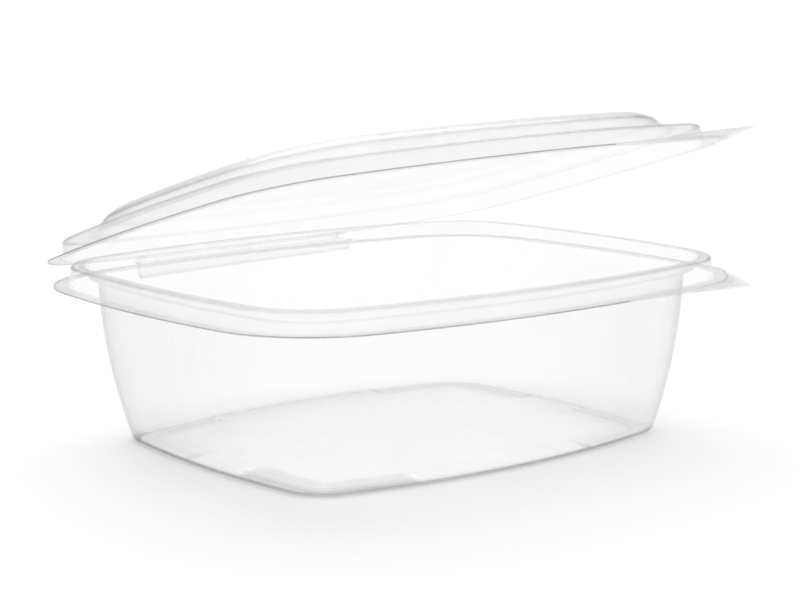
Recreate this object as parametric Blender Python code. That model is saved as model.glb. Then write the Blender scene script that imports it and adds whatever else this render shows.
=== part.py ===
"""Clear hinged takeaway container: a tray and a lid formed from one thin sheet, lid part open."""

import math

import bpy
from mathutils import Matrix, Vector

# Sizes in millimetres. An outline is seen from above: half length, half width, then the radii
# of the bowed ends, of the bowed long sides and of the corners. The lid's dome stands further in
# at its ends than along its sides.
sheet = 0.4
footOutline = (71.5, 58.1, 283.0, 242.0, 14.0)
wallOutline = (81.65, 65.3, 331.0, 307.0, 25.0)
rimOutline = (89.0, 73.06, 338.3, 313.9, 26.8)
flangeOutline = (94.7, 78.8, 344.0, 319.6, 36.0)
lidCorner = 30.5
domeEnds = 4.0

# Heights of the tray's upper side above the ground.
floorHeight = 1.3
footHeight = 0.4
wallTop = 50.6
rimTop = 54.86
flangeTop = 49.1
wallBelly = 0.85

# The tray stands on a narrow edge all round, which widens at each corner to an L-shaped foot.
# The arms of the feet end this far from the middle of a side.
footArmLong = 33.4
footArmShort = 12.8

# The hinge is a strip behind the back flanges. It folds on its outer edge, a little askew in plan.
stripHalf = 43.7
creaseHalf = 42.7
hingeY = 83.4
hingeZ = 49.35
hingeGap = 0.3
foldTurn = 3.0
closedGap = 0.5
openAngle = 15.6

# Section of the strip outwards from the bead: share of its width, and height above the flange.
# The tray's side hangs down in a channel, which leans with the lid, and the lid's has two low ridges.
trayStrip = ((0.0, 0.0), (0.3, 0.0), (0.52, 0.0), (0.66, -4.1), (0.76, -4.1), (0.9, 0.0), (1.0, 0.0))
lidStrip = ((0.0, 0.0), (0.3, 0.0), (0.5, 0.55), (0.7, 0.0), (0.85, 0.55), (1.0, 0.0))
channelLean = 0.18

# One front corner of each half is drawn out to a pointed tab.
trayTabTip = (74.4, -78.7)
lidTabTip = (78.4, -82.0)
tabFrontStart = 24.0
tabEndY = -49.5

# Columns of the mesh along a quarter of an outline, as shares of its three arcs.
endShares = (0.0, 0.16, 0.318, 0.332, 0.5, 0.75, 1.0)
cornerShares = (0.143, 0.286, 0.429, 0.571, 0.714, 0.857, 1.0)
sideShares = (0.16, 0.31, 0.322, 0.422, 0.435, 0.448, 0.58, 0.72, 0.86, 1.0)


def clearScene():
    for item in list(bpy.data.objects):
        bpy.data.objects.remove(item, do_unlink=True)


def quarterOutline(outline):
    """Points of a bowed rectangle with round corners, from the middle of +X to that of +Y."""
    halfX, halfY, endRadius, sideRadius, cornerRadius = outline
    endCentre = Vector((halfX - endRadius, 0.0))
    sideCentre = Vector((0.0, halfY - sideRadius))
    between = sideCentre - endCentre
    toEnd = endRadius - cornerRadius
    toSide = sideRadius - cornerRadius
    along = (toEnd**2 - toSide**2 + between.length**2) / (2 * between.length)
    across = math.sqrt(toEnd**2 - along**2)
    axis = between.normalized()
    corner = endCentre + axis * along + Vector((axis.y, -axis.x)) * across
    if corner.x + corner.y < 0:
        corner = endCentre + axis * along - Vector((axis.y, -axis.x)) * across
    first = math.atan2(corner.y - endCentre.y, corner.x - endCentre.x)
    last = math.atan2(corner.y - sideCentre.y, corner.x - sideCentre.x)
    arcs = (
        (endCentre, endRadius, 0.0, first, endShares),
        (corner, cornerRadius, first, last, cornerShares),
        (sideCentre, sideRadius, last, math.pi / 2, sideShares),
    )
    points = []
    for centre, radius, start, stop, shares in arcs:
        for share in shares:
            turn = start + (stop - start) * share
            points.append(centre + Vector((math.cos(turn), math.sin(turn))) * radius)
    return points


def fullOutline(outline):
    """The whole outline, counter-clockwise, with the same number of points for any sizes."""
    quarter = quarterOutline(outline)
    half = quarter + [Vector((-point.x, point.y)) for point in quarter[-2::-1]]
    return half + [Vector((point.x, -point.y)) for point in half[-2:0:-1]]


def inset(outline, distance):
    return tuple(size - distance for size in outline)


def blend(first, second, share):
    return tuple(a + (b - a) * share for a, b in zip(first, second))


def wallAt(height):
    """The outline of the bellied wall at a height above the ground."""
    share = height / wallTop
    return blend(footOutline, wallOutline, share + wallBelly * share * (1 - share))


def ring(outline, height):
    return [Vector((point.x, point.y, height)) for point in fullOutline(outline)]


def onFoot(point):
    return abs(point.x) > footArmLong and abs(point.y) > footArmShort


def footRing(outline, low, high):
    """A ring that dips to the feet at the corners and stays up between them."""
    guide = fullOutline(footOutline)
    flat = fullOutline(outline)
    return [Vector((point.x, point.y, low if onFoot(mark) else high)) for point, mark in zip(flat, guide)]


def withTab(edge, tabTip):
    """The flange's edge with the front right corner drawn out to the tab."""
    front = [i for i, point in enumerate(edge) if point.y < 0 and point.x > tabFrontStart and point.y < tabEndY]
    tip = min(front, key=lambda i: abs(math.atan2(edge[i].y + 44.0, edge[i].x - 60.0) + 1.18))
    start, end = front[0], front[-1]
    drawn = list(edge)
    for i in range(start, tip + 1):
        drawn[i] = edge[start].lerp(Vector(tabTip), (i - start) / (tip - start))
    for i in range(tip + 1, end):
        drawn[i] = Vector((tabTip[0] + 1.1, tabTip[1] + 1.0)).lerp(edge[end], (i - tip - 1) / (end - tip - 1))
    return drawn


def onStrip(point, half):
    return point.y > 0 and abs(point.x) < half


def foldLine(x):
    return hingeY + x * math.tan(math.radians(foldTurn))


def withStrip(edge):
    """The flange's edge with the middle of the back drawn out to the fold."""
    return [
        Vector((point.x, foldLine(point.x) - hingeGap / 2)) if onStrip(point, stripHalf) else point
        for point in edge
    ]


def flangeRings(inner, outer, tabTip, height, strip):
    """Rings from the foot of the bead out to the flange's edge, formed along the hinge strip."""
    start = fullOutline(inner)
    edge = withStrip(withTab(fullOutline(outer), tabTip))
    rings = []
    for share, rise in strip:
        points = []
        for first, last in zip(start, edge):
            flat = first.lerp(last, share)
            lean = 1 - channelLean * last.x / stripHalf
            formed = rise * lean if onStrip(last, creaseHalf) else 0.0
            points.append(Vector((flat.x, flat.y, height + formed)))
        rings.append(points)
    return rings


def sheetMesh(name, rings):
    """An open sheet: a flat panel inside the first ring, then a band of faces for each next ring."""
    count = len(rings[0])
    points = [point / 1000 for line in rings for point in line]
    faces = [tuple(range(count))]
    for level in range(len(rings) - 1):
        for i in range(count):
            near, far = level * count, (level + 1) * count
            following = (i + 1) % count
            faces.append((near + i, far + i, far + following, near + following))
    mesh = bpy.data.meshes.new(name)
    mesh.from_pydata(points, [], faces)
    mesh.shade_smooth()
    mesh.set_sharp_from_angle(angle=math.radians(35))
    return mesh


def clearPlastic(name, colour):
    material = bpy.data.materials.new(name)
    material.use_nodes = True
    shader = material.node_tree.nodes["Principled BSDF"]
    shader.inputs["Base Color"].default_value = colour
    shader.inputs["Roughness"].default_value = 0.08
    shader.inputs["Metallic"].default_value = 0.0
    shader.inputs["IOR"].default_value = 1.46
    shader.inputs["Alpha"].default_value = 0.3
    return material


def addSheet(name, rings, colour):
    item = bpy.data.objects.new(name, sheetMesh(name, rings))
    bpy.context.scene.collection.objects.link(item)
    item.data.materials.append(clearPlastic(name + "Plastic", colour))
    thicken = item.modifiers.new("thickness", "SOLIDIFY")
    thicken.thickness = sheet / 1000
    thicken.offset = -1
    return item


def trayRings():
    rings = [
        ring(inset(footOutline, 7.4), floorHeight),
        footRing(inset(footOutline, 6.5), footHeight, floorHeight),
        footRing(inset(footOutline, 2.4), footHeight, floorHeight),
        ring(inset(footOutline, 1.3), footHeight),
        ring(inset(footOutline, 0.2), footHeight + 0.35),
        ring(wallAt(2.6), 2.6),
    ]
    for height in (8.0, 15.0, 23.0, 32.0, 41.0, wallTop):
        rings.append(ring(wallAt(height), height))
    rings.append(ring(inset(rimOutline, 5.9), 51.1))
    rings.append(ring(inset(rimOutline, 5.3), 52.0))
    rings.append(ring(inset(rimOutline, 4.7), 54.2))
    rings.append(ring(inset(rimOutline, 4.1), rimTop))
    rings.append(ring(inset(rimOutline, 0.8), rimTop))
    rings.append(ring(inset(rimOutline, 0.1), rimTop - 0.6))
    rings.append(ring(inset(rimOutline, -0.5), flangeTop + 0.7))
    return rings + flangeRings(inset(rimOutline, -1.0), flangeOutline, trayTabTip, flangeTop, trayStrip)


def lidOutline(distance, corner, ends=0.0):
    """The flange's outline moved in by a distance, and further at its ends, with its own corners."""
    halfX, halfY, endRadius, sideRadius = inset(flangeOutline, distance)[:4]
    return (halfX - ends, halfY, endRadius, sideRadius, corner)


def lidRings():
    """The lid as it lies when closed, with heights from its own flange, outwards from the top."""
    rings = [
        ring(lidOutline(17.2, 32.0, domeEnds), 12.0),
        ring(lidOutline(15.5, 33.5, domeEnds), 11.7),
        ring(lidOutline(12.5, 36.5, domeEnds), 10.1),
        ring(lidOutline(11.7, 36.5, domeEnds), 9.4),
        ring(lidOutline(9.9, 32.5, domeEnds), 6.1),
        ring(lidOutline(9.2, 31.0, domeEnds), 5.6),
        ring(lidOutline(6.0, 26.5), 5.6),
        ring(lidOutline(5.1, 27.3), 5.2),
        ring(lidOutline(4.8, 27.6), 4.6),
        ring(lidOutline(4.2, 28.0), 0.7),
    ]
    inner, outer = lidOutline(3.6, 28.4), lidOutline(0.0, lidCorner)
    return rings + flangeRings(inner, outer, lidTabTip, 0.0, lidStrip)


def buildTray():
    return addSheet("tray", trayRings(), (0.93, 0.94, 0.94, 1.0))


def buildLid():
    """The lid hangs on the fold: its origin is on the hinge's axis, and it stands part open."""
    lift = flangeTop + closedGap + sheet - hingeZ
    offset = Matrix.Translation((0.0, -hingeY, lift))
    rings = [[offset @ point for point in line] for line in lidRings()]
    lid = addSheet("lid", rings, (0.94, 0.95, 0.95, 1.0))
    turn = math.radians(foldTurn)
    lid.location = (0.0, hingeY / 1000, hingeZ / 1000)
    lid.rotation_mode = "AXIS_ANGLE"
    lid.rotation_axis_angle = (-math.radians(openAngle), math.cos(turn), math.sin(turn), 0.0)
    return lid


clearScene()
buildTray()
buildLid()
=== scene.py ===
# Clear hinged takeaway container, empty, with its lid part open on a plain white floor.
import math

import bmesh
import bpy
from mathutils import Matrix, Vector
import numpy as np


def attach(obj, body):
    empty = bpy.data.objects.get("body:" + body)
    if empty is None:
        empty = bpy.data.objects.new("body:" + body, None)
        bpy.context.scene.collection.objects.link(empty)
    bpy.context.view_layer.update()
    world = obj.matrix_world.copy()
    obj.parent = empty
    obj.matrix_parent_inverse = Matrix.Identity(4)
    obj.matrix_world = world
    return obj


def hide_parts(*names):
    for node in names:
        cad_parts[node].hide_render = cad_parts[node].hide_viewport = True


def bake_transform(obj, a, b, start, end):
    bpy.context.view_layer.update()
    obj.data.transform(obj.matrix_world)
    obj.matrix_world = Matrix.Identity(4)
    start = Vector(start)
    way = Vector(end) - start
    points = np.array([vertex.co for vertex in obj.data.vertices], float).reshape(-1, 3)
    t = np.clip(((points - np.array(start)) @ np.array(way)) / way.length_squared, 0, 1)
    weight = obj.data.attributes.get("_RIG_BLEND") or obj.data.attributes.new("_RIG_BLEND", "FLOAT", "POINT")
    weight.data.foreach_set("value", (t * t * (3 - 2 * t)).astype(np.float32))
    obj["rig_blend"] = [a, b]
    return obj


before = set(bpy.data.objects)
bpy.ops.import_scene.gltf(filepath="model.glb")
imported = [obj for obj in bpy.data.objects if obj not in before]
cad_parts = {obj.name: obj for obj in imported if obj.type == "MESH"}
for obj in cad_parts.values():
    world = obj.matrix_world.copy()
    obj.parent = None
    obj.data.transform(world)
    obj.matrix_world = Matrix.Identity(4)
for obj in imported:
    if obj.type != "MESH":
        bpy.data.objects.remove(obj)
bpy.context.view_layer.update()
print("frame loaded")

# Outlines are bowed rectangles with round corners, in millimetres: half length, half width,
# then the radii of the bowed ends, of the bowed long sides and of the corners.
outlines = {
    "foot": (71.5, 58.1, 283.0, 242.0, 14.0),
    "wall": (81.65, 65.3, 331.0, 307.0, 25.0),
    "rim": (89.0, 73.06, 338.3, 313.9, 26.8),
    "flange": (94.7, 78.8, 344.0, 319.6, 36.0),
    "middle": (1, 1, 4, 4, 0.2),
}

# The sheet that both halves are formed from, and the columns of its mesh on each arc of a quarter.
sheet = {"thickness": 0.4, "endColumns": 26, "cornerColumns": 36, "sideColumns": 40}


# Shapes

def smoothstep(value, low, high):
    share = min(max((value - low) / (high - low), 0.0), 1.0)
    return share * share * (3 - 2 * share)


def bump(value, centre, width):
    return max(0.0, 1 - ((value - centre) / width) ** 2) ** 2


def inset(outline, distance):
    return tuple(size - distance for size in outline)


def mixOutlines(first, second, share):
    return tuple(a + (b - a) * share for a, b in zip(first, second))


def arcsOf(outline):
    # centre, radius, first angle and last angle of the three arcs of the first quarter
    halfX, halfY, endRadius, sideRadius, cornerRadius = outline
    endCentre = Vector((halfX - endRadius, 0))
    sideCentre = Vector((0, halfY - sideRadius))
    between = sideCentre - endCentre
    toEnd = endRadius - cornerRadius
    toSide = sideRadius - cornerRadius
    along = (toEnd**2 - toSide**2 + between.length**2) / (2 * between.length)
    across = math.sqrt(toEnd**2 - along**2)
    axis = between.normalized()
    corner = endCentre + axis * along + Vector((axis.y, -axis.x)) * across
    if corner.x + corner.y < 0:
        corner = endCentre + axis * along - Vector((axis.y, -axis.x)) * across
    first = math.atan2(corner.y - endCentre.y, corner.x - endCentre.x)
    last = math.atan2(corner.y - sideCentre.y, corner.x - sideCentre.x)
    return (
        (endCentre, endRadius, 0.0, first),
        (corner, cornerRadius, first, last),
        (sideCentre, sideRadius, last, math.pi / 2),
    )


def shareOnSide(outline, x):
    radius, start, stop = arcsOf(outline)[2][1:]
    return (math.acos(x / radius) - start) / (stop - start)


def shareOnEnd(outline, y):
    radius, start, stop = arcsOf(outline)[0][1:]
    return (math.asin(y / radius) - start) / (stop - start)


def sharesThrough(marks, count):
    # evenly spread shares from 0 to 1 that also stop at every mark
    stops = [0.0] + sorted(marks) + [1.0]
    shares = [0.0]
    for low, high in zip(stops, stops[1:]):
        steps = max(1, round((high - low) * count))
        shares += [low + (high - low) * (step + 1) / steps for step in range(steps)]
    return shares


# The arms of the corner feet end this far from the middle of a side.
footArm = {"alongSide": 33.4, "alongEnd": 12.8, "slope": 0.7}
hinge = {
    "half": 43.7,
    "y": 83.4,
    "z": 49.35,
    "gap": 0.3,
    "turn": 3.0,  # the fold runs a little askew in plan
    "endSlope": 0.8,
    "stripSteps": 30,
    "channel": 4.1,
    "channelLean": 0.18,
    "channelBends": (0.54, 0.66, 0.76, 0.89),
    "ridge": 0.55,
}
armSide = [shareOnSide(outlines["foot"], footArm["alongSide"] - shift) for shift in (0.0, footArm["slope"])]
armEnd = [shareOnEnd(outlines["foot"], footArm["alongEnd"] - shift) for shift in (0.0, footArm["slope"])]
stripEnd = [shareOnSide(outlines["flange"], hinge["half"] - shift) for shift in (0.0, 0.4, hinge["endSlope"])]
arcShares = (
    sharesThrough(armEnd, sheet["endColumns"]),
    sharesThrough([], sheet["cornerColumns"])[1:],
    sharesThrough(armSide + stripEnd, sheet["sideColumns"])[1:],
)


def around(outline):
    # every point of an outline, counter-clockwise from the middle of +X
    quarter = []
    for (centre, radius, start, stop), shares in zip(arcsOf(outline), arcShares):
        for share in shares:
            turn = start + (stop - start) * share
            quarter.append(centre + Vector((math.cos(turn), math.sin(turn))) * radius)
    half = quarter + [Vector((-point.x, point.y)) for point in quarter[-2::-1]]
    return half + [Vector((point.x, -point.y)) for point in half[-2:0:-1]]


columns = len(around(outlines["flange"]))


def nearness(place):
    # how far a place lies towards the front left corner
    return -0.61 * place.x - 0.77 * place.y


def level(outline, height, tone=0.0, least=0.6):
    # one ring of the sheet; the tone is painted shade lines at the sheet's bends, weaker on the back sides
    ring = []
    for point in around(outline):
        front = smoothstep(nearness(point), -35.0, 15.0)
        ring.append((Vector((point.x, point.y, height)), tone * (least + (1 - least) * front)))
    return ring


def rounded(levels):
    # each bend between two bands becomes two softer bends
    soft = [levels[0]]
    for low, high in zip(levels, levels[1:]):
        for share in (0.27, 0.73):
            soft.append([(a.lerp(b, share), s + (t - s) * share) for (a, s), (b, t) in zip(low, high)])
    return soft + [levels[-1]]


def drawnOut(form, edges):
    # one more band outwards: its outer edges and its new points
    made = bmesh.ops.extrude_edge_only(form, edges=edges)["geom"]
    newEdges = [item for item in made if isinstance(item, bmesh.types.BMEdge)]
    return newEdges, [item for item in made if isinstance(item, bmesh.types.BMVert)]


def loft(levels):
    # a sheet drawn outwards from a capped loop, one extrusion for each ring
    form = bmesh.new()
    tone = form.verts.layers.float.new("bend")
    column = form.verts.layers.int.new("column")
    made = bmesh.ops.create_circle(form, cap_ends=True, segments=columns, radius=1.0)
    for number, vert in enumerate(made["verts"]):
        vert[column] = number
        vert.co, vert[tone] = levels[0][number]
    edges = [edge for edge in form.edges if edge.is_boundary]
    for ring in levels[1:]:
        edges, verts = drawnOut(form, edges)
        for vert in verts:
            vert.co, vert[tone] = ring[vert[column]]
    return form, edges


def drawEdge(form, edges, steps, target):
    # part of the sheet's edge drawn further out; target gives the place and tone of a column at a share
    tone = form.verts.layers.float["bend"]
    column = form.verts.layers.int["column"]
    starts = {vert[column]: vert.co.copy() for edge in edges for vert in edge.verts}
    for step in range(1, steps + 1):
        edges, verts = drawnOut(form, edges)
        for vert in verts:
            vert.co, vert[tone] = target(vert[column], starts[vert[column]], step / steps)


def faceUp(form):
    # the sheet's formed side faces up and inwards over the whole piece
    bmesh.ops.recalc_face_normals(form, faces=form.faces)
    panel = max(form.faces, key=lambda face: len(face.verts))
    if panel.normal.z < 0:
        bmesh.ops.reverse_faces(form, faces=form.faces)


def finish(name, form, materials, body, replaced=None):
    # millimetres to metres
    bmesh.ops.scale(form, vec=(0.001, 0.001, 0.001), verts=form.verts)
    mesh = bpy.data.meshes.new(name)
    form.to_mesh(mesh)
    form.free()
    mesh.shade_smooth()
    item = bpy.data.objects.new(name, mesh)
    bpy.context.scene.collection.objects.link(item)
    for material in materials:
        mesh.materials.append(material)
    if body:
        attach(item, body)
    if replaced:
        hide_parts(replaced)
    return item


def thicken(item):
    # the sheet's thickness, with the second material on the trimmed edge
    wall = item.modifiers.new("thickness", "SOLIDIFY")
    wall.thickness = sheet["thickness"] / 1000
    wall.offset = -1
    wall.use_even_offset = False
    wall.material_offset_rim = 1
    return item


# Materials

class Signal:
    def __init__(self, graph, socket):
        self.graph = graph
        self.socket = socket

    def __add__(self, other):
        return self.graph.math("ADD", self, other)

    __radd__ = __add__

    def __sub__(self, other):
        return self.graph.math("SUBTRACT", self, other)

    def __rsub__(self, other):
        return self.graph.math("SUBTRACT", other, self)

    def __mul__(self, other):
        return self.graph.math("MULTIPLY", self, other)

    __rmul__ = __mul__

    def __pow__(self, other):
        return self.graph.math("POWER", self, other)


class Graph:
    def __init__(self, name):
        self.material = bpy.data.materials.new(name)
        self.material.use_nodes = True
        self.tree = self.material.node_tree
        self.shader = self.tree.nodes["Principled BSDF"]
        self.across = 0

    def add(self, kind, settings=None, inputs=None, output=0):
        node = self.tree.nodes.new(kind)
        self.across += 1
        node.location = (-220 * (self.across % 8 + 1), -180 * (self.across // 8))
        for key, value in (settings or {}).items():
            setattr(node, key, value)
        for key, value in (inputs or {}).items():
            self.feed(node.inputs[key], value)
        return Signal(self, node.outputs[output])

    def feed(self, socket, value):
        if isinstance(value, Signal):
            self.tree.links.new(value.socket, socket)
        else:
            socket.default_value = value

    def surface(self, name, value):
        self.feed(self.shader.inputs[name], value)

    def math(self, operation, first, second=0.0):
        return self.add("ShaderNodeMath", {"operation": operation}, {0: first, 1: second})

    def clamped(self, value):
        return self.add("ShaderNodeClamp", {}, {"Value": value})

    def objectPlace(self):
        return self.add("ShaderNodeTexCoord", output="Object")

    # the bend tone is painted shade, put on the sheet's rings
    def bendShadeTone(self):
        return self.add("ShaderNodeAttribute", {"attribute_name": "bend"}, output="Fac")

    def noise(self, where, scale, detail=2.0, roughness=0.5):
        inputs = {"Vector": where, "Scale": scale, "Detail": detail, "Roughness": roughness}
        return self.add("ShaderNodeTexNoise", {}, inputs)

    def relief(self, height, strength, depth):
        return self.add("ShaderNodeBump", {}, {"Strength": strength, "Distance": depth, "Height": height})

    def greys(self, factor, first, second):
        # a mix of two greys
        colours = [(shade, shade, shade, 1.0) for shade in (first, second)]
        inputs = {"Factor": factor, "A": colours[0], "B": colours[1]}
        return self.add("ShaderNodeMix", {"data_type": "RGBA"}, inputs, "Result")


clearFinish = {
    "grey": 0.93,
    "paintedShadeGrey": 0.26,  # painted shade: the grey of the dark lines where the sheet bends tightly
    "roughness": 0.07,
    "ior": 1.46,
    "film": 0.05,  # how much a face seen square on hides
    "slant": 0.52,  # how much more it hides where it is seen edge on
    "slantPower": 4.0,
    "bendFilm": 0.15,  # how much the painted shade line at a tight bend hides square on, then edge on
    "bendSlant": 0.6,
    "bendPower": 2.2,
    "waveSize": 26.0,
    "waveDepth": 0.0006,
    "streaks": (420.0, 420.0, 30.0),  # fine draw marks down the walls
    "cloudSize": 55.0,
}


def clearSheet(name, tune):
    # thin clear plastic: nearly nothing square on, pale where it turns edge on, with painted grey shade where
    # it bends tightly, darkest where such a bend is seen edge on
    graph = Graph(name)
    where = graph.objectPlace()
    waves = graph.noise(where, tune["waveSize"], 1.5, 0.45)
    streaks = graph.add("ShaderNodeMapping", {}, {"Vector": where, "Scale": tune["streaks"]})
    streaks = graph.noise(streaks, 1.0, 2.0, 0.6)
    normal = graph.relief(waves * 0.8 + streaks * 0.2, 1.0, tune["waveDepth"])
    facing = graph.add("ShaderNodeLayerWeight", {}, {"Blend": 0.5, "Normal": normal}, "Facing")
    bend = graph.bendShadeTone()
    cloud = graph.noise(where, tune["cloudSize"], 3.0, 0.6)
    haze = tune["film"] * (0.6 + 0.8 * cloud)
    haze = haze + tune["slant"] * facing ** tune["slantPower"] * (0.85 + 0.3 * cloud)
    line = bend * (tune["bendFilm"] + tune["bendSlant"] * facing ** tune["bendPower"])
    # painted shade: the base colour turns towards the dark grey along the bend tone, more where it is seen
    # edge on
    paintedShade = graph.clamped(bend * (1.6 + 6 * facing ** 8.0) + (cloud - 0.5) * 0.2)
    graph.surface("Alpha", graph.clamped(haze + line))
    graph.surface("Base Color", graph.greys(paintedShade, tune["grey"], tune["paintedShadeGrey"]))
    graph.surface("Roughness", tune["roughness"] * (0.6 + 0.9 * streaks))
    graph.surface("Normal", normal)
    graph.surface("IOR", tune["ior"])
    return graph.material


cutFinish = {
    # painted shade: the dark grey of the trimmed edge
    "grey": 0.20,
    "alpha": 0.55,
    "roughness": 0.35,
    "ior": 1.46,
    "nickSize": 900.0,
    "nickDepth": 0.0001,
    "patchSize": 40.0,
}


def cutEdge(name, tune):
    # the trimmed edge of the sheet, where light is caught along its whole width, drawn as a painted dark grey
    # shade line that follows the painted bend tone beside it; the fold has none
    graph = Graph(name)
    where = graph.objectPlace()
    nicks = graph.noise(where, tune["nickSize"], 2.0, 0.6)
    patches = graph.noise(where, tune["patchSize"], 2.0, 0.5)
    bend = graph.bendShadeTone()
    edgeShade = tune["alpha"] * (0.5 + patches) * (0.85 + 0.3 * nicks)
    graph.surface("Alpha", graph.clamped(edgeShade * graph.clamped(bend * 2.5 - 0.2)))
    graph.surface("Base Color", graph.greys(nicks, tune["grey"] * 0.8, tune["grey"] * 1.2))
    graph.surface("Roughness", tune["roughness"] * (0.8 + 0.4 * nicks))
    graph.surface("Normal", graph.relief(nicks, 0.4, tune["nickDepth"]))
    graph.surface("IOR", tune["ior"])
    return graph.material


trayClear = clearSheet("trayClearSheet", clearFinish)
lidClear = clearSheet("lidClearSheet", {**clearFinish, "film": 0.08, "slant": 0.42})
cutLine = cutEdge("trimmedEdge", cutFinish)
# painted shade: the dots and lugs get a darker grey than the sheet, for how the small bumps look in light
dotClear = clearSheet("tabStipple", {**clearFinish, "film": 0.08, "grey": 0.7})
print("materials made")


# Tray. Heights are of the sheet's upper side above the ground.

tray = {
    "floor": 1.3,
    "wallTop": 50.6,
    "belly": 0.85,
    # painted shade on the walls, put into their tone
    "haze": 0.11,
    "panelEdge": 12.6,
    # distance in from the foot's outline, height on the corner feet, tone of the painted shade
    "footSteps": (
        (12.2, 1.22, 0.5),
        (11.8, 1.15, 0.16),
        (9.6, 1.15, 0.14),
        (9.2, 1.1, 0.4),
        (8.8, 1.05, 0.14),
        (7.4, 1.05, 0.14),
        (6.9, 0.9, 0.5),
        (6.5, 0.4, 0.5),
        (4.6, 0.4, 0.15),
        (4.2, 0.4, 0.4),
        (2.4, 0.4, 0.25),
    ),
    # the narrow edge that the tray stands on: distance in, height, tone of the painted contact shadow
    "baseSteps": ((1.9, 0.4, 0.1), (1.3, 0.4, 0.9), (0.2, 0.75, 1.0)),
    # where the wall begins: height, tone of the painted contact shadow
    "wallStart": ((1.4, 0.7), (2.1, 0.25)),
    "wallHeights": (2.8, 4.4, 6.5, 10, 15, 21, 28, 35, 42, 48),
    # distance in from the rim's outline, height, tone of the painted shade lines, share of the tone that the
    # back sides keep
    "beadSteps": (
        (5.9, 51.1, 0.2, 0.6),
        (5.3, 52.0, 0.0, 0.6),
        (4.7, 54.2, 0.0, 0.6),
        (4.1, 54.86, 0.25, 0.6),
        (2.5, 54.91, 0.15, 1.0),
        (1.2, 54.86, 0.12, 1.0),
        (0.7, 54.83, 0.6, 0.6),
        (0.2, 54.41, 0.4, 0.6),
        (0.05, 53.76, 0.0, 0.6),
        (-0.5, 49.8, 0.0, 0.6),
        (-1.0, 49.1, 0.12, 0.6),
        (-1.9, 49.1, 0.16, 1.0),
    ),
    "flangeTop": 49.1,
    "stripFrom": 4.74,
    "tabTip": (74.4, -78.7),
    "joggle": -0.5,
}


def wallAt(height):
    share = height / tray["wallTop"]
    return mixOutlines(outlines["foot"], outlines["wall"], share + tray["belly"] * share * (1 - share))


def wallShadeLevel(height):
    # painted shade: the walls get a grey tone that grows towards their left and right as seen from the camera
    ring = []
    for place, _ in level(wallAt(height), height):
        side = smoothstep(abs(0.78 * place.x - 0.62 * place.y), 25.0, 80.0)
        ring.append((place, tray["haze"] * (0.55 + 0.75 * side)))
    return ring


def baseShadowLevel(outline, height, tone):
    # painted shadow: the bottom edge is darkened along the front, where the contact shadow lies, and the
    # darkening fades past the left and right corners
    ring = []
    for place, _ in level(outline, height):
        front = smoothstep(nearness(place), -10.0, 16.0)
        ring.append((place, tone * (0.14 + 0.86 * front)))
    return ring


def footLevel(outline, low, high, tone):
    # a ring that dips to the feet at the corners and stays up between them; its tone is painted shade on the
    # feet, strongest on the front foot
    ring = []
    for point, mark in zip(around(outline), around(outlines["foot"])):
        alongSide = smoothstep(abs(mark.x), footArm["alongSide"] - footArm["slope"], footArm["alongSide"])
        alongEnd = smoothstep(abs(mark.y), footArm["alongEnd"] - footArm["slope"], footArm["alongEnd"])
        foot = alongSide * alongEnd
        near = smoothstep(nearness(mark), 42.0, 60.0)
        place = Vector((point.x, point.y, high + (low - high) * foot))
        ring.append((place, tone * (0.06 + (0.24 + 0.7 * near) * foot)))
    return ring


def panelLevels(edge, height, shares):
    # the flat panel in the middle, from a small patch out to its edge
    return [level(mixOutlines(outlines["middle"], edge, share), height) for share in shares]


def trayLevels():
    foot, floor = outlines["foot"], tray["floor"]
    levels = panelLevels(inset(foot, tray["panelEdge"]), floor, (0.3, 0.6, 0.9))
    levels.append(level(inset(foot, tray["panelEdge"]), floor))
    for distance, height, tone in tray["footSteps"]:
        levels.append(footLevel(inset(foot, distance), height, floor, tone))
    for distance, height, tone in tray["baseSteps"]:
        levels.append(baseShadowLevel(inset(foot, distance), height, tone))
    for height, tone in tray["wallStart"]:
        levels.append(baseShadowLevel(wallAt(height), height, tone))
    for height in tray["wallHeights"]:
        levels.append(wallShadeLevel(height))
    levels.append(level(wallAt(tray["wallTop"]), tray["wallTop"], 0.05))
    for distance, height, tone, least in tray["beadSteps"]:
        levels.append(level(inset(outlines["rim"], distance), height, tone, least))
    levels.append(level(inset(outlines["flange"], 0.3), tray["flangeTop"], 0.16, 1.0))
    levels.append(level(outlines["flange"], tray["flangeTop"], 0.5))
    return levels


# The tab takes in this stretch of a flange's edge; its point stands in the direction of the aim.
tab = {"from": 24.0, "to": -49.5, "pivot": (60.0, -44.0), "aim": -1.18, "blunt": (1.1, 1.0), "steps": 9}


def tabEdge(tip, outline):
    # where the flange's edge ends up when one front corner is drawn out to a point
    edge = around(outline)
    pivotX, pivotY = tab["pivot"]
    front = [i for i, point in enumerate(edge) if point.y < tab["to"] and point.x > tab["from"]]
    middle = min(front, key=lambda i: abs(math.atan2(edge[i].y - pivotY, edge[i].x - pivotX) - tab["aim"]))
    first, last = front[0], front[-1]
    beside = Vector((tip[0] + tab["blunt"][0], tip[1] + tab["blunt"][1]))
    drawn = {}
    for i in range(first, middle + 1):
        drawn[i] = edge[first].lerp(Vector(tip), (i - first) / (middle - first))
    for i in range(middle + 1, last + 1):
        drawn[i] = beside.lerp(edge[last], (i - middle - 1) / (last - middle - 1))
    return drawn


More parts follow.
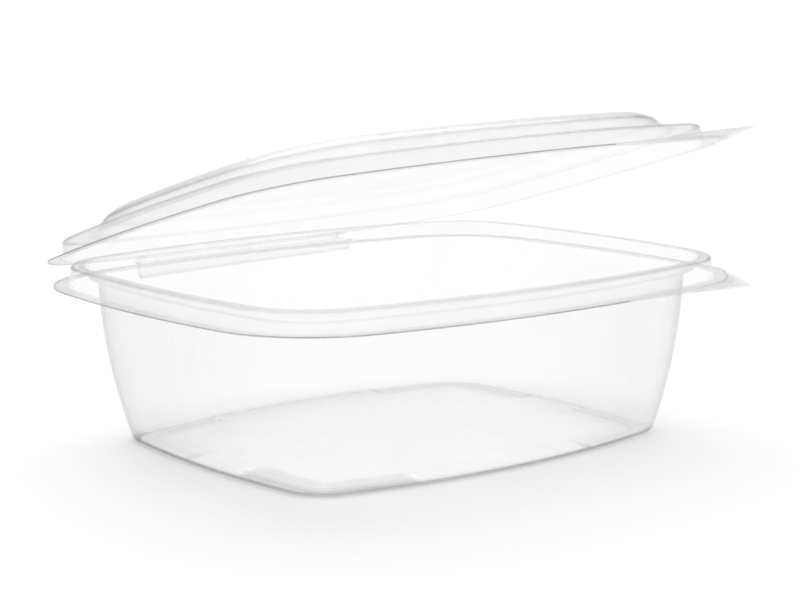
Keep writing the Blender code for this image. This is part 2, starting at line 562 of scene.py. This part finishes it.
def drawTab(form, edges, tip, outline, joggle):
    # the tab leaves the flange over a small step, the joggle, with a painted shade line along the step
    drawn = tabEdge(tip, outline)
    column = form.verts.layers.int["column"]
    chosen = [edge for edge in edges if all(vert[column] in drawn for vert in edge.verts)]

    def target(number, origin, share):
        goal = drawn[number]
        reach = (goal - origin.xy).length
        flat = origin.xy.lerp(goal, share)
        drop = joggle * smoothstep(share * reach, 0.6, 2.6) * smoothstep(reach, 2.0, 8.0)
        tone = 0.12 + 0.2 * bump(share * reach, 1.6, 1.4) * smoothstep(reach, 2.0, 6.0)
        return Vector((flat.x, flat.y, origin.z + drop)), tone

    drawEdge(form, chosen, tab["steps"], target)


def foldAt(x):
    return hinge["y"] + x * math.tan(math.radians(hinge["turn"]))


def stripWidth(x, inside):
    # from the foot of the bead to the fold
    radius = outlines["flange"][3] - inside
    foot = outlines["flange"][1] - inside - radius + math.sqrt(radius**2 - x**2)
    return foot, foldAt(x) - hinge["gap"] / 2


def channel(share, x):
    # the tray's side hangs down in a channel that leans with the lid, with painted shade lines at its bends
    fall = smoothstep(share, 0.52, 0.67) - smoothstep(share, 0.75, 0.9)
    depth = hinge["channel"] * (1 - hinge["channelLean"] * x / hinge["half"])
    return -depth * fall, 0.05 + 0.22 * sum(bump(share, bend, 0.04) for bend in hinge["channelBends"])


def ridges(share, x):
    # the lid's side has two low ridges, with painted shade along them
    rise = bump(share, 0.58, 0.12) + bump(share, 0.84, 0.13)
    return hinge["ridge"] * rise, 0.05 + 0.22 * rise


def drawStrip(form, edges, inside, section):
    # the middle of the back is drawn out to the fold
    reach = hinge["half"] + 0.05
    chosen = [edge for edge in edges if all(vert.co.y > 0 and abs(vert.co.x) < reach for vert in edge.verts)]

    def target(number, origin, step):
        foot, fold = stripWidth(origin.x, inside)
        y = origin.y + (fold - origin.y) * step
        ends = 1 - smoothstep(abs(origin.x), hinge["half"] - hinge["endSlope"], hinge["half"])
        rise, tone = section((y - foot) / (fold - foot), origin.x)
        return Vector((origin.x, y, origin.z + rise * ends)), tone

    drawEdge(form, chosen, hinge["stripSteps"], target)


def buildTray():
    form, edges = loft(rounded(trayLevels()))
    drawTab(form, edges, tray["tabTip"], outlines["flange"], tray["joggle"])
    drawStrip(form, edges, tray["stripFrom"], channel)
    faceUp(form)
    return thicken(finish("tray_sheet", form, [trayClear, cutLine], "base", "tray"))


traySheet = buildTray()
print("tray", len(traySheet.data.polygons))


# Lid. It is shaped as it lies when shut, with heights above its own flange.

lid = {
    "corner": 30.5,
    "domeEnds": 4.0,  # the dome stands this much further in at its ends
    "domeFrom": 8.5,
    # distance in from the flange's outline, corner radius, height, tone of the painted shade lines
    "steps": (
        (17.2, 32.0, 12.0, 0.0),
        (15.5, 33.5, 11.7, 0.2),
        (12.5, 36.5, 10.1, 0.15),
        (11.8, 36.5, 9.45, 0.7),
        (11.3, 35.5, 8.6, 0.1),
        (9.9, 32.5, 6.1, 0.1),
        (9.3, 31.2, 5.62, 0.25),
        (8.8, 30.6, 5.6, 0.1),
        (7.6, 28.7, 5.65, 0.0),
        (6.0, 26.5, 5.6, 0.1),
        (5.3, 27.1, 5.35, 0.9),
        (5.0, 27.4, 4.95, 0.35),
        (4.8, 27.6, 4.4, 0.1),
        (4.2, 28.0, 0.7, 0.05),
        (3.6, 28.4, 0.0, 0.25),
        (2.6, 29.0, 0.0, 0.15),
        (0.3, 30.3, 0.0, 0.15),
        (0.0, 30.5, 0.0, 0.6),
    ),
    # share of the painted shade that the back sides keep
    "backTone": 0.3,
    "gap": 0.5,  # between the two flanges when shut
    "open": 15.6,
    "stripFrom": 3.6,
    "tabTip": (78.4, -82.0),
    "joggle": 0.5,
}


def lidOutline(distance, corner):
    halfX, halfY, endRadius, sideRadius = inset(outlines["flange"], distance)[:4]
    ends = lid["domeEnds"] if distance > lid["domeFrom"] else 0.0
    return (halfX - ends, halfY, endRadius, sideRadius, corner)


def lidLevels():
    distance, corner, height, _ = lid["steps"][0]
    levels = panelLevels(lidOutline(distance, corner), height, (0.3, 0.6, 0.88))
    for distance, corner, height, tone in lid["steps"]:
        levels.append(level(lidOutline(distance, corner), height, tone, lid["backTone"]))
    return levels


def openLid(form):
    # from where it lies when shut to where it stands, turned about the fold
    lift = tray["flangeTop"] + lid["gap"] + sheet["thickness"] - hinge["z"]
    turn = math.radians(hinge["turn"])
    swing = Matrix.Rotation(-math.radians(lid["open"]), 4, Vector((math.cos(turn), math.sin(turn), 0)))
    shut = Matrix.Translation((0, -hinge["y"], lift))
    form.transform(Matrix.Translation((0, hinge["y"], hinge["z"])) @ swing @ shut)


def buildLid():
    form, edges = loft(rounded(lidLevels()))
    drawTab(form, edges, lid["tabTip"], lidOutline(0.0, lid["corner"]), lid["joggle"])
    drawStrip(form, edges, lid["stripFrom"], ridges)
    faceUp(form)
    openLid(form)
    return thicken(finish("lid_sheet", form, [lidClear, cutLine], "cover", "lid"))


lidSheet = buildLid()
print("lid", len(lidSheet.data.polygons))


# Fold

fold = {
    "half": 42.9,
    "inner": 0.27,
    "outer": 0.63,
    "low": -108.0,
    "high": 93.0,
    "steps": 14,
    "lengths": 12,
    "blend": 0.45,
}


def buildFold():
    # the sheet turns back on itself along the fold, a thin band from one half to the other
    form = bmesh.new()
    sweep = fold["high"] - fold["low"]
    turns = [math.radians(fold["low"] + sweep * step / fold["steps"]) for step in range(fold["steps"] + 1)]
    outer = [(math.cos(turn) * fold["outer"], math.sin(turn) * fold["outer"]) for turn in turns]
    inner = [(math.cos(turn) * fold["inner"], math.sin(turn) * fold["inner"]) for turn in reversed(turns)]
    start = -fold["half"]
    ring = [form.verts.new((start, foldAt(start) + out, hinge["z"] + up)) for out, up in outer + inner]
    section = form.faces.new(ring)
    length = 2 * fold["half"] / fold["lengths"]
    for step in range(fold["lengths"]):
        made = bmesh.ops.extrude_face_region(form, geom=[section])
        section = next(item for item in made["geom"] if isinstance(item, bmesh.types.BMFace))
        askew = length * math.tan(math.radians(hinge["turn"]))
        bmesh.ops.translate(form, vec=(length, askew, 0), verts=section.verts)
    across = [face for face in form.faces if abs(face.normal.x) > 0.9]
    inside = [face for face in across if abs(face.calc_center_median().x) < fold["half"] - 1]
    bmesh.ops.delete(form, geom=inside, context="FACES_ONLY")
    bmesh.ops.recalc_face_normals(form, faces=form.faces)
    item = finish("fold_film", form, [trayClear], None)
    heights = [(hinge["z"] + shift) / 1000 for shift in (-fold["blend"], fold["blend"])]
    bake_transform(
        item, "base", "cover",
        start=(0, hinge["y"] / 1000, heights[0]),
        end=(0, hinge["y"] / 1000, heights[1]),
    )


buildFold()
print("fold")


# Grip dots on the tabs, and two tiny lugs where the lid left its mould

stipple = {
    "pitch": 1.35,
    "rowShare": 0.866,  # rows stand this much closer than the dots along them
    "count": 24,
    "radius": 0.4,
    "height": 0.2,
    "margin": 0.8,
    "reach": 2.1,
    "trayHeight": 48.65,
    "lidHeight": 0.55,
}


def reachPast(spot, outline):
    # how far a place near the front right corner lies outside an outline
    flipped = Vector((spot.x, -spot.y))
    end, corner, side = arcsOf(outline)
    turn = math.atan2(flipped.y - corner[0].y, flipped.x - corner[0].x)
    arc = end if turn < corner[2] else side if turn > corner[3] else corner
    return (flipped - arc[0]).length - arc[1]


def tabPlaces(tip, outline):
    # a staggered grid over the part of the tab that stands out past the flange
    drawn = tabEdge(tip, outline)
    first, last = drawn[min(drawn)], drawn[max(drawn)]
    point = Vector(tip)
    pitch = stipple["pitch"]
    span = range(-stipple["count"], stipple["count"] + 1)
    places = []
    for row in span:
        for step in span:
            spot = point + Vector(((step + row % 2 / 2) * pitch, row * pitch * stipple["rowShare"]))
            sides = []
            for start, stop in ((first, point), (point, last)):
                along = (stop - start).normalized()
                sides.append(along.x * (spot.y - start.y) - along.y * (spot.x - start.x))
            if min(sides) > stipple["margin"] and reachPast(spot, outline) > stipple["reach"]:
                places.append(spot)
    return places


def dotsOn(tip, outline, height):
    form = bmesh.new()
    for spot in tabPlaces(tip, outline):
        made = bmesh.ops.create_uvsphere(form, u_segments=8, v_segments=6, radius=stipple["radius"])
        bmesh.ops.scale(form, vec=(1, 1, stipple["height"] / stipple["radius"]), verts=made["verts"])
        bmesh.ops.translate(form, vec=(spot.x, spot.y, height), verts=made["verts"])
    return form


def buildDots():
    form = dotsOn(tray["tabTip"], lidOutline(0.0, outlines["flange"][4]), stipple["trayHeight"])
    onTray = finish("tray_tab_dots", form, [dotClear], "base")
    form = dotsOn(lid["tabTip"], lidOutline(0.0, lid["corner"]), stipple["lidHeight"])
    openLid(form)
    onLid = finish("lid_tab_dots", form, [dotClear], "cover")
    print("tab dots", len(onTray.data.polygons), len(onLid.data.polygons))


# Middle of each lug, above the lid's flange.
lugs = {"places": ((-72.6, -36.6, 11.85), (-77.2, -60.3, 5.55)), "radius": 0.5}


def buildLugs():
    form = bmesh.new()
    for place in lugs["places"]:
        made = bmesh.ops.create_icosphere(form, subdivisions=2, radius=lugs["radius"])
        bmesh.ops.translate(form, vec=place, verts=made["verts"])
    openLid(form)
    finish("lid_lugs", form, [dotClear], "cover")


buildLugs()
buildDots()


# Studio

studio = {
    "white": 1.0,  # what the camera sees behind the container
    "ambient": 0.63,
    "sun": 2.3,
    "sunAngle": 60.0,
    "sunTurn": (-28.0, 19.0, 0.0),  # it shines from behind
    "floor": 0.84,
    "floorGrain": 0.004,
}


def buildFloor():
    form = bmesh.new()
    bmesh.ops.create_grid(form, x_segments=1, y_segments=1, size=30.0)
    mesh = bpy.data.meshes.new("floor")
    form.to_mesh(mesh)
    form.free()
    floor = bpy.data.objects.new("floor", mesh)
    bpy.context.scene.collection.objects.link(floor)
    graph = Graph("paleFloor")
    grain = graph.noise(graph.objectPlace(), 300.0)
    low, high = studio["floor"] - studio["floorGrain"], studio["floor"] + studio["floorGrain"]
    graph.surface("Base Color", graph.greys(grain, low, high))
    graph.surface("Roughness", 0.9)
    graph.surface("Specular IOR Level", 0.1)
    mesh.materials.append(graph.material)


def buildLight():
    world = bpy.data.worlds.new("studio")
    bpy.context.scene.world = world
    world.use_nodes = True
    tree = world.node_tree
    background = tree.nodes["Background"]
    background.inputs["Color"].default_value = (1.0, 1.0, 1.0, 1.0)
    path = tree.nodes.new("ShaderNodeLightPath")
    strength = tree.nodes.new("ShaderNodeMapRange")
    strength.inputs["To Min"].default_value = studio["ambient"]
    strength.inputs["To Max"].default_value = studio["white"]
    tree.links.new(path.outputs["Is Camera Ray"], strength.inputs["Value"])
    tree.links.new(strength.outputs["Result"], background.inputs["Strength"])
    data = bpy.data.lights.new("skyPanel", "SUN")
    data.energy = studio["sun"]
    data.angle = math.radians(studio["sunAngle"])
    sun = bpy.data.objects.new("skyPanel", data)
    sun.rotation_euler = [math.radians(turn) for turn in studio["sunTurn"]]
    bpy.context.scene.collection.objects.link(sun)


# The camera's place and turn, fitted to the rim, flange, walls and foot.
view = {
    "eye": (-0.382309, -0.482899, 0.144250),
    "right": (0.78331568, -0.62159257, -0.00626306),
    "up": (0.1155222, 0.13566365, 0.98399695),
    "back": (-0.61079552, -0.77150376, 0.1780752),
    "sensor": 36.0,
    "lens": 91.08,
    "shift": (0.0072, 0.0371),
    "clip": (0.02, 200.0),
}


def buildCamera():
    data = bpy.data.cameras.new("view")
    data.sensor_width = view["sensor"]
    data.sensor_fit = "HORIZONTAL"
    data.lens = view["lens"]
    data.shift_x, data.shift_y = view["shift"]
    data.clip_start, data.clip_end = view["clip"]
    camera = bpy.data.objects.new("view", data)
    turn = Matrix((view["right"], view["up"], view["back"])).transposed().to_4x4()
    camera.matrix_world = Matrix.Translation(view["eye"]) @ turn
    bpy.context.scene.collection.objects.link(camera)
    bpy.context.scene.camera = camera


buildFloor()
buildLight()
buildCamera()
settings = bpy.context.scene
settings.view_settings.view_transform = "Standard"
settings.cycles.transparent_max_bounces = 64  # a line of sight crosses many layers of the sheet
print("studio set")
